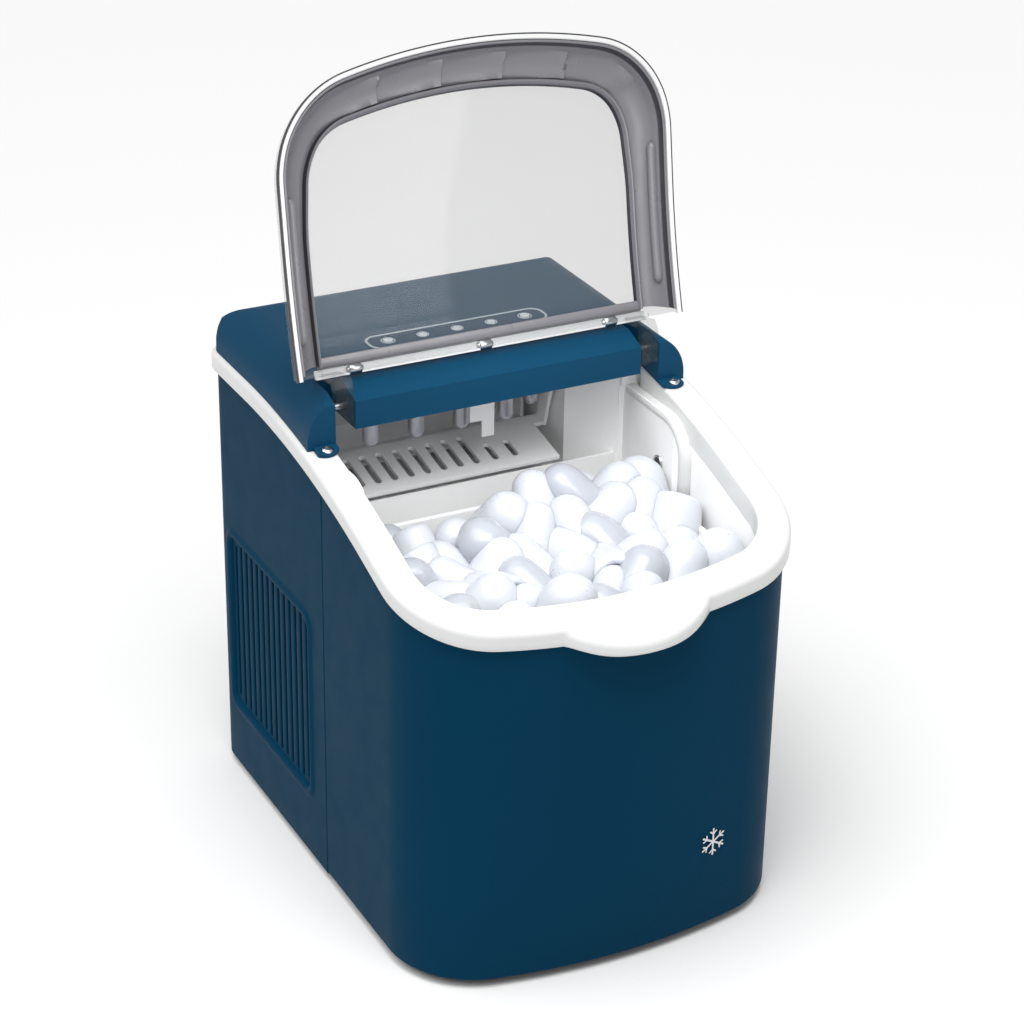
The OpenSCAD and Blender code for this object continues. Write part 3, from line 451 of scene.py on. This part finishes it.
VENT_LO, VENT_HI, VENT_R = (18.0, 47.5), (143.5, 169.0), 9.0
SLOTS, SLOT_HALF, SLOT_R = 14, 2.2, 2.1
SLOT_END, SLOT_END_TRIM = 4.2, 3.0
REAR_SLOTS, GLAND_AT, GLAND_R = 12, (-70, 40), 6.2
vent_hole = rounded((VENT_LO[0] + 1, VENT_LO[1] + 1), (VENT_HI[0] - 1, VENT_HI[1] - 1), 8)
cutters = [prism(vent_hole, "x", s * 110, s * 130) for s in (-1, 1)]
cutters += [prism(rounded((-52 + k * 9, 70), (-47.5 + k * 9, 150), 2.2, n=5), "y", 155, 170)
            for k in range(REAR_SLOTS)]
cutters.append(prism(arc(*GLAND_AT, GLAND_R, 0, 345, 24), "y", 155, 170))
cut(rear, cutters)
m = rear.modifiers.new("smooth", "EDGE_SPLIT")
m.split_angle = math.radians(35)


def flat_plate(name, outline, holes, x0, thick, edge, side, mat, slot):
    """Plate facing along X with rounded edges, from an outline with holes in the YZ plane."""
    cu = bpy.data.curves.new(name, "CURVE")
    cu.dimensions, cu.fill_mode = "2D", "BOTH"
    cu.extrude, cu.bevel_depth, cu.bevel_resolution = (thick / 2 - edge) * MM, edge * MM, 2
    for loop in [outline] + holes:
        s = cu.splines.new("POLY")
        s.points.add(len(loop) - 1)
        for q, p in zip(s.points, loop):
            q.co = (p[0] * MM, p[1] * MM, 0, 1)
        s.use_cyclic_u = True
    tmp = bpy.data.objects.new(name + "_curve", cu)
    bpy.context.scene.collection.objects.link(tmp)
    me = bpy.data.meshes.new_from_object(tmp.evaluated_get(bpy.context.evaluated_depsgraph_get()))
    bpy.data.objects.remove(tmp)
    me.name = name
    me.materials.clear()
    me.transform(Matrix(((0, 0, side, side * x0 * MM), (1, 0, 0, 0), (0, 1, 0, 0), (0, 0, 0, 1))))
    clean(me, WELD)
    o = add_object(name, me, mat, "machine", slot)
    e = o.modifiers.new("smooth", "EDGE_SPLIT")
    e.split_angle = math.radians(40)
    return o


pitch = (VENT_HI[0] - VENT_LO[0]) / (SLOTS + 1)
holes = []
for k in range(1, SLOTS + 1):
    y = VENT_LO[0] + k * pitch
    trim = SLOT_END_TRIM if k in (1, SLOTS) else 0.0
    holes.append(rounded((y - SLOT_HALF, VENT_LO[1] + SLOT_END + trim),
                         (y + SLOT_HALF, VENT_HI[1] - SLOT_END - trim), SLOT_R, n=5))
BEAD = [(-3.6, -2.2), (-3.4, -1.2), (-2.8, 0.0), (-1.9, 0.8), (-0.8, 1.2), (0.4, 1.25), (1.6, 0.9),
        (2.6, 0.4), (3.6, 0.06), (4.2, -0.02), (4.2, -0.6)]
for s, tag in ((-1, "left"), (1, "right")):
    flat_plate("side_vent_" + tag, rounded(VENT_LO, VENT_HI, VENT_R), holes, HALF_W - 2.3, 1.8,
               0.75, s, MATS["blue_shell"], "blue_shell")
    grid("side_vent_border_" + tag,
         [[(s * (HALF_W + h), p[0], p[1]) for p in rounded(VENT_LO, VENT_HI, VENT_R, grow)]
          for grow, h in BEAD], MATS["blue_shell"], "machine", "blue_shell", close_u=True, split=60)

# ---------------------------------------------------------------- lid frame

LID_OUT, LID_FRONT, LID_REAR, LID_LEAN, LID_GAP = 2.3, 4.2, 12.5, 0.3, 0.6
HINGE = np.array([0, 28.5, 293.7])
OPEN = math.radians(117.2)


def opened(p):
    """Points of the shut lid, turned back about the hinge into the rest pose."""
    p = np.asarray(p, float)
    q = p - HINGE
    c, s = math.cos(-OPEN), math.sin(-OPEN)
    turned = [q[..., 0], c * q[..., 1] - s * q[..., 2], s * q[..., 1] + c * q[..., 2]]
    return np.stack(turned, -1) + HINGE


def lid_path(d, h, end=None):
    """Open loop round the shut lid at inset d and height h, ending at the hinge side."""
    f = front_points(d - LID_OUT)
    y_end = LID_REAR - 2.6 - LID_LEAN * h if end is None else end
    y = np.linspace(CORNER_Y, y_end, 26)[1:]
    f = np.concatenate([f, np.stack([np.full(len(y), HALF_W - d + LID_OUT), y], 1)])
    f[:, 1] -= LID_FRONT * np.clip((-30 - f[:, 1]) / 80, 0, 1)
    p = np.concatenate([mirror_x(f[1:][::-1]), f])
    return np.column_stack([p, rim_z(p[:, 1]) + RIM_H + LID_GAP + h])


PANEL_X, PANEL_W, PANEL_DEPTH = -54.7, 39.1, 3.0


def frame_row(d, h):
    """Row of the lid's inner frame: wider at the front, with slanted panels in its channel."""
    near, far = lid_path(d, h), lid_path(d + 3.2, h)
    w = smoothstep((-60 - near[:, 1]) / 50) * np.clip((d - 9) / 10, 0, 1)
    p = near + (far - near) * w[:, None]
    saw = (p[:, 0] - PANEL_X) / PANEL_W
    facet = np.where((saw > -1) & (saw < 4), saw - np.floor(saw), 0.0)
    facet *= smoothstep((-118 - p[:, 1]) / 6)
    if 8 < d < 18.5 and 8 < h < 18.3:
        p[:, 2] -= PANEL_DEPTH * facet
    return opened(p)


FRAME_PROFILE = [(3.2, 3.6), (3.3, 1.5), (3.6, 1.0), (4.6, 1.0), (5.0, 1.5), (5.2, 4.6), (5.9, 5.6),
                 (6.6, 5.4), (7.0, 6.2), (7.9, 9.0), (9.6, 12.2), (12.2, 15.0), (15.0, 16.8),
                 (18.2, 17.6), (18.5, 15.6), (18.9, 14.0), (19.6, 13.4), (20.3, 13.8), (21.2, 16.4),
                 (21.8, 19.3), (21.5, 19.6), (16.9, 19.5), (13.2, 18.9), (9.8, 17.2), (6.9, 14.8),
                 (4.6, 11.5), (3.6, 7.9), (3.3, 5.0)]
# Profile rows whose faces take the painted shade: the frame's outer edge, its steps and its
# creases.
PAINTED_SHADE_ROWS = (0, 1, 4, 5, 13, 14, 18)
grid("lid_inner_frame", [frame_row(d, h) for d, h in FRAME_PROFILE], MATS["grey_plastic"],
     "lid", "grey_plastic", "lid_frame", close_v=True, caps=True, split=34, second=FRAME_PAINTED_SHADE,
     painted_shade_rows=PAINTED_SHADE_ROWS)
TRIM_PROFILE = [(0.6, 0.5), (0.9, 0.1), (2.7, 0.1), (3.1, 0.5), (3.1, 3.1), (0.6, 3.1)]
LINE_PROFILE = [(-0.1, 0.5), (0.1, 0.2), (0.55, 0.2), (0.55, 3.2), (-0.1, 3.2)]
grid("lid_edge_band", [opened(lid_path(d, h, LID_REAR - 0.3)) for d, h in TRIM_PROFILE],
     MATS["rim_white"], "lid", "rim_white", "lid_edge_trim", close_v=True, caps=True, split=50)
# The clear skin's edge is drawn in the dark painted-shade material: a painted dark line standing in
# for the refraction at the clear edge.
grid("lid_skin_edge", [opened(lid_path(d, h, LID_REAR - 0.3)) for d, h in LINE_PROFILE],
     FRAME_PAINTED_SHADE, "lid", "grey_plastic", close_v=True, caps=True, split=50)


def lid_bar(name, section, half, mat, slot, n=24):
    """Bar across the lid near its hinge end; the section is in (y, h)."""
    rows = [[(x, y, float(rim_z(y)) + RIM_H + LID_GAP + h) for x in np.linspace(-half, half, n)]
            for y, h in section]
    return grid(name, opened(rows), mat, "lid", slot, close_v=True, caps=True, split=42)


LOWER_BAR = [(0.4, 19.4), (0.4, 17.4), (1.0, 16.3), (2.4, 15.8), (5.0, 15.8), (6.0, 16.4),
             (6.8, 17.6), (6.8, 19.4)]
REAR_STRIP = [(6.9, 19.2), (6.9, 17.9), (7.4, 17.5), (9.0, 17.6), (10.6, 16.9), (11.6, 15.6),
              (12.2, 15.5), (12.4, 16.2), (11.4, 18.4), (8.6, 19.3)]
lid_bar("lid_lower_bar", LOWER_BAR, 103.5, MATS["grey_plastic"], "grey_plastic")
lid_bar("lid_rear_strip", REAR_STRIP, 106.0, STRIP, "grey_plastic")

# Clips on the strip, as (distance from the middle along X, radius).
CLIP_X, CLIP_Y, CLIP_H = (-82, 0, 82), 9.4, 16.9
CLIP = [(-5.2, 0.4), (-5.2, 1.2), (-4.9, 1.5), (-3.9, 1.8), (-3.8, 2.8), (-3.4, 3.1), (3.4, 3.1),
        (3.8, 2.8), (3.9, 1.8), (4.9, 1.5), (5.2, 1.2), (5.2, 0.4)]
for n_clip, cx in enumerate(CLIP_X):
    clip_rows = []
    for a in np.linspace(0, 2 * math.pi, 19)[:-1]:
        base_z = float(rim_z(CLIP_Y)) + RIM_H + LID_GAP + CLIP_H
        clip_rows.append([(cx + dx, CLIP_Y + r * math.cos(a), base_z + r * math.sin(a))
                          for dx, r in CLIP])
    grid("lid_clip_%d" % (n_clip + 1), opened(clip_rows), MATS["steel"], "lid", "steel",
         *(["lid_clips"] if n_clip == 0 else []), close_v=True, caps=True, split=40)


BEAD_STEPS, BEAD_END = 30, math.sqrt(0.02)


def strip(name, side, y0, y1, cd, ch, r, mat):
    """Round bead along a side wall of the lid frame, drawn in at both ends."""
    rows = []
    for a in np.linspace(0, 2 * math.pi, 11)[:-1]:
        d, h = cd + r * math.cos(a), ch + r * math.sin(a)
        p = []
        for k, y in enumerate(np.linspace(y0, y1, BEAD_STEPS)):
            t = BEAD_END if k in (0, BEAD_STEPS - 1) else 1.0
            dd, hh = cd + (d - cd) * t, ch + (h - ch) * t
            p.append((side * (HALF_W + LID_OUT - dd), y, float(rim_z(y)) + RIM_H + LID_GAP + hh))
        rows.append(p)
    return grid(name, opened(rows), mat, "lid", "grey_plastic", close_v=True, caps=True, split=60)


for s, tag in ((-1, "left"), (1, "right")):
    strip("lid_side_bead_" + tag, s, -88, -7, 9.0, 9.6, 3.0, MATS["grey_plastic"])


def tube(name, path, r, mat, body, slot, n=14):
    """Round tube along a path of points in mm, with closed, rounded ends."""
    p = np.asarray(path, float)
    t = np.gradient(p, axis=0)
    t /= np.linalg.norm(t, axis=1)[:, None]
    side = np.cross(t, [1.0, 0.0, 0.02])
    side /= np.linalg.norm(side, axis=1)[:, None]
    other = np.cross(t, side)
    rr = np.full(len(p), float(r))
    rr[[0, -1]] *= 0.45
    rows = [p + rr[:, None] * (math.cos(a) * side + math.sin(a) * other)
            for a in np.linspace(0, 2 * math.pi, n + 1)[:-1]]
    return grid(name, rows, mat, body, slot, close_v=True, caps=True, split=70)


for s, tag in ((-1, "left"), (1, "right")):
    edge = [(-22.4, 213.5), (-22.4, 214.5), (-22.4, 228)]
    edge += [(-1.5 - 20.9 * math.cos(a), 240 + 20.9 * math.sin(a))
             for a in np.linspace(0, math.pi / 2, 12)]
    edge += [(12, 260.9), (30, 260.9), (43.6, 260.9), (44, 260.9)]
    tube("pillar_ridge_" + tag, [(s * 103.2, y, z) for y, z in edge], 4.2, MATS["rim_white"],
         "machine", "rim_white")
    bezel = []
    for off, h in ((0, 0), (0, 0.9), (0.5, 1.2), (1.1, 1.2), (1.5, 0.8), (1.5, 0)):
        r = 3.1 + off
        bezel.append([(s * (99.4 - h), 2 + r * math.cos(a), 230.5 + r * math.sin(a))
                      for a in np.linspace(0, 2 * math.pi, 33)[:-1]])
    grid("sensor_bezel_" + tag, bezel, MATS["steel"], "machine", "steel", close_u=True,
         close_v=True, split=60)

# ---------------------------------------------------------------- control outline

def ring(name, pts, width, height, z, body, slot, mat):
    """Thin raised line round a closed outline on a level surface."""
    p = np.array(pts)
    t = np.roll(p, -1, 0) - np.roll(p, 1, 0)
    nrm = np.stack([t[:, 1], -t[:, 0]], 1) / np.linalg.norm(t, axis=1)[:, None]
    sec = [(-0.5, 0), (-0.5, 0.6), (-0.3, 1), (0.3, 1), (0.5, 0.6), (0.5, 0)]
    rows = [np.column_stack([p + nrm * o * width, np.full(len(p), z + h * height)]) for o, h in sec]
    return grid(name, rows, mat, body, slot, close_u=True, close_v=True, split=60)


TOP_Z, PANEL_Y = 307.0, 72.5
ring("control_outline", rounded((-58, 62.5), (58, 82.5), 8, -0.9, n=10), 1.5, 0.45,
     TOP_Z + 0.45, "machine", "overlay", MATS["overlay"])
for k in (-1, 0, 1):
    ring("lamp_ring_%d" % (k + 2), arc(k * 22.3, PANEL_Y, 3.4, 0, 350, 30), 0.8, 0.4, TOP_Z + 0.45,
         "machine", "overlay", MATS["overlay"])
for s, tag in ((-1, "select"), (1, "power")):
    ring("key_ring_" + tag, arc(s * 44.6, PANEL_Y, 4.0, 0, 350, 30), 0.8, 0.4, TOP_Z + 0.45,
         "machine", "overlay", MATS["overlay"])

# ---------------------------------------------------------------- ice

rng = np.random.default_rng(7)
N_SEG = 20
BASKET_INSET, BASKET_REAR_Y = 27, 21.5
BASKET_HALF = HALF_W - BASKET_INSET
# Each layer's depth below the top of the heap, and the distance between its pieces.
HEAP_LAYERS = ((32, 28.0), (14, 24.0))
HEAP_FLOOR_Z = 178
CLEAR_EVERY, CLEAR_AT = 5, 3
BULLET = ([(0.0, 9.0), (3.0, 8.6), (4.6, 6.5), (5.2, 3.0), (5.9, 0.9), (7.4, 0.0), (9.2, 0.5),
           (10.4, 2.6), (11.0, 6.0), (11.3, 11.0), (11.4, 16.0), (11.3, 20.5)]
          + arc(0, 21.5, 11.2, 12, 90, 7))


def ice_piece(place, turn, size, squash):
    """One bullet with a hollow end, lumpy and a little uneven, as points in mm."""
    a = np.linspace(0, 2 * math.pi, N_SEG, endpoint=False)
    prof = np.array(BULLET)
    r, z = prof[:, 0][:, None], prof[:, 1][:, None] - 15.5
    p = np.stack([r * np.cos(a), r * np.sin(a), np.broadcast_to(z, (len(prof), N_SEG))], -1)
    for _ in range(3):
        k = rng.normal(size=3)
        k *= rng.uniform(0.10, 0.22) / np.linalg.norm(k)
        p = p * (1 + 0.035 * np.sin(p @ k + rng.uniform(0, 6.28)))[..., None]
    p = p * np.array([size * squash, size / squash, size * rng.uniform(0.92, 1.06)])
    return p @ turn.T + place


def turn_to(axis, spin):
    """Rotation that takes +Z to axis, after a spin about Z."""
    q = Vector((0, 0, 1)).rotation_difference(Vector(axis))
    m = q.to_matrix() @ Matrix.Rotation(spin, 3, "Z")
    return np.array(m)


def heap_top(x, y):
    """Height of the ice heap's upper surface."""
    h = 222 + 21 * np.exp(-((x - 28) / 46) ** 2 - ((y + 2) / 36) ** 2)
    h += 5 * np.exp(-((x - 80) / 26) ** 2 - ((y - 0) / 30) ** 2)
    h -= 8 * np.exp(-((x + 88) / 36) ** 2 - ((y - 8) / 46) ** 2)
    return h


def basket_room(x, y, keep):
    """Whether a point of the plan is inside the basket by at least keep."""
    front_y = BOW_CY - math.sqrt((BOW_R - BASKET_INSET - keep) ** 2 - x * x)
    if abs(x) > CORNER_X:
        dx = abs(x) - CORNER_X
        r = CORNER_R - BASKET_INSET - keep
        if dx > r:
            return False
        front_y = CORNER_Y - math.sqrt(r * r - dx * dx)
    return front_y < y < BASKET_REAR_Y - keep and abs(x) < BASKET_HALF - keep


pieces = []
for drop, step in HEAP_LAYERS:
    for j in range(-1, 8):
        for i in range(-6, 7):
            x = (i + 0.5 * (j % 2)) * step + rng.uniform(-3, 3)
            y = 14 - j * step * 0.86 + rng.uniform(-3, 3)
            tilt = rng.uniform(0.35, 1.5)
            az = rng.uniform(0, 2 * math.pi)
            size = rng.uniform(1.08, 1.42)
            if not basket_room(x, y, 9):
                continue
            keep = 1.0 if basket_room(x, y, 15) else 0.55
            axis = (math.sin(tilt * keep) * math.cos(az), math.sin(tilt * keep) * math.sin(az),
                    math.cos(tilt * keep) * (1 if rng.uniform() > 0.12 else -1))
            z = float(heap_top(x, y)) - drop + rng.uniform(-3, 3)
            z = max(z, HEAP_FLOOR_Z)
            pieces.append(ice_piece(np.array([x, y, z]), turn_to(axis, rng.uniform(0, 6.28)), size,
                                    rng.uniform(0.93, 1.07)))
for name, clear, mat in (("ice_heap", False, MATS["ice"]), ("ice_heap_clear", True, CLEAR_ICE)):
    verts, faces = [], []
    nr = len(BULLET)
    for k, p in enumerate(pieces):
        if (k % CLEAR_EVERY == CLEAR_AT) != clear:
            continue
        b = len(verts)
        verts += [tuple(v) for v in (p.reshape(-1, 3) * MM)]
        for v in range(nr - 1):
            for u in range(N_SEG):
                faces.append((b + v * N_SEG + u, b + v * N_SEG + (u + 1) % N_SEG,
                              b + (v + 1) * N_SEG + (u + 1) % N_SEG, b + (v + 1) * N_SEG + u))
    me = bpy.data.meshes.new(name)
    me.from_pydata(verts, [], faces)
    clean(me, ICE_WELD)
    o = add_object(name, me, mat, "basket", "ice", *(["ice_bullets"] if name == "ice_heap" else []))
    s = o.modifiers.new("round", "SUBSURF")
    s.levels = s.render_levels = 1

# ---------------------------------------------------------------- stage

floor = bpy.data.meshes.new("floor")
floor.from_pydata([(-6, -6, 0), (6, -6, 0), (6, 6, 0), (-6, 6, 0)], [], [(0, 1, 2, 3)])
floor_o = bpy.data.objects.new("floor", floor)
bpy.context.scene.collection.objects.link(floor_o)
fm, _, fb = new_mat("floor")
fb.inputs["Base Color"].default_value = (0.8, 0.8, 0.8, 1)
fb.inputs["Roughness"].default_value = 0.8
floor.materials.append(fm)

world = bpy.data.worlds.new("studio")
world.use_nodes = True
wn = world.node_tree
back = wn.nodes["Background"]
seen = wn.nodes.new("ShaderNodeBackground")
seen.inputs["Color"].default_value = (1, 1, 1, 1)
seen.inputs["Strength"].default_value = 1.05
back.inputs["Color"].default_value = (1, 1, 1, 1)
back.inputs["Strength"].default_value = 0.5
path = wn.nodes.new("ShaderNodeLightPath")
both = wn.nodes.new("ShaderNodeMixShader")
wn.links.new(path.outputs["Is Camera Ray"], both.inputs["Fac"])
wn.links.new(back.outputs["Background"], both.inputs[1])
wn.links.new(seen.outputs["Background"], both.inputs[2])
wn.links.new(both.outputs["Shader"], wn.nodes["World Output"].inputs["Surface"])
bpy.context.scene.world = world


def sun(name, toward, power, spread):
    """Very soft distant light that shines along the vector toward."""
    d = bpy.data.lights.new(name, "SUN")
    d.energy, d.angle = power, math.radians(spread)
    o = bpy.data.objects.new(name, d)
    o.rotation_mode = "QUATERNION"
    o.rotation_quaternion = Vector(toward).to_track_quat("-Z", "Y")
    bpy.context.scene.collection.objects.link(o)


def area(name, place, target, size, power):
    """Soft square light at a place, turned towards a target."""
    d = bpy.data.lights.new(name, "AREA")
    d.energy, d.size = power, size
    o = bpy.data.objects.new(name, d)
    o.location = place
    o.rotation_mode = "QUATERNION"
    o.rotation_quaternion = (Vector(target) - Vector(place)).to_track_quat("-Z", "Y")
    o.visible_camera = False
    bpy.context.scene.collection.objects.link(o)


sun("key", (0.38, 0.1, -0.92), 2.3, 60)
area("bin_fill", (-0.1, -0.45, 1.1), (0, 0.02, 0.22), 0.5, 4.5)
area("chamber_fill", (0.0, -0.11, 0.40), (0, 0.10, 0.24), 0.14, 0.24)

# ---------------------------------------------------------------- camera

CAM_AT = (-0.65520, -1.26210, 0.92906)
CAM_AZ, CAM_DOWN, CAM_ROLL = (math.radians(v) for v in (27.4605, 26.5181, 0.9604))
cd = bpy.data.cameras.new("camera")
cd.sensor_width = 36
cd.lens = 96.17
cd.clip_start, cd.clip_end = 0.05, 30
cam = bpy.data.objects.new("camera", cd)
bpy.context.scene.collection.objects.link(cam)
fwd = Vector((math.sin(CAM_AZ) * math.cos(CAM_DOWN), math.cos(CAM_AZ) * math.cos(CAM_DOWN),
              -math.sin(CAM_DOWN)))
right = fwd.cross(Vector((0, 0, 1))).normalized()
up = right.cross(fwd)
r2 = math.cos(CAM_ROLL) * right + math.sin(CAM_ROLL) * up
u2 = -math.sin(CAM_ROLL) * right + math.cos(CAM_ROLL) * up
rot = Matrix((r2, u2, -fwd)).transposed()
cam.rotation_mode = "QUATERNION"
cam.rotation_quaternion = rot.to_quaternion()
cam.location = CAM_AT
bpy.context.scene.camera = cam
bpy.context.scene.view_settings.view_transform = "Standard"
